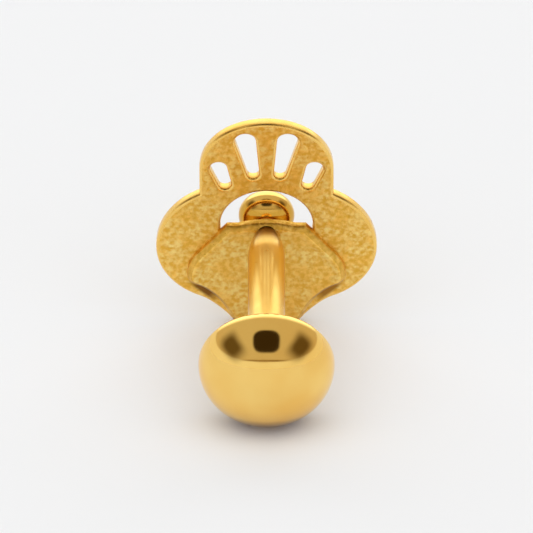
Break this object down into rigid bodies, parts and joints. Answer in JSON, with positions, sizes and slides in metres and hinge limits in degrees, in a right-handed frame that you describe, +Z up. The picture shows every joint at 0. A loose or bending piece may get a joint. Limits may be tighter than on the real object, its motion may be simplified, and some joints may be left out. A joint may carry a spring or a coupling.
{
  "type": "stud earring",
  "caption": "Polished domed stud on a smooth post, with a push-on pierced back shaped like a three-lobed flower with a tail.",
  "frame": {"origin": "middle of the underside of the earring's bounding box, on the surface it rests on", "axes": "+Z up; +Y the way the post points over the ground, from the dome to the flower back; +X to the right across the flower"},
  "size_m": [0.0066, 0.0086, 0.0078],
  "materials": {
    "polished_gold": null,
    "satin_gold": null
  },
  "bodies": {
    "stud": {"dome_post": "polished_gold"},
    "back": {"flower_back": "satin_gold"}
  },
  "joints": [
    {"name": "back_slide", "type": "slide", "parent": "stud", "child": "back", "axis": [0, 0.9589, 0.2838], "range_m": [0, 0.003]}
  ]
}
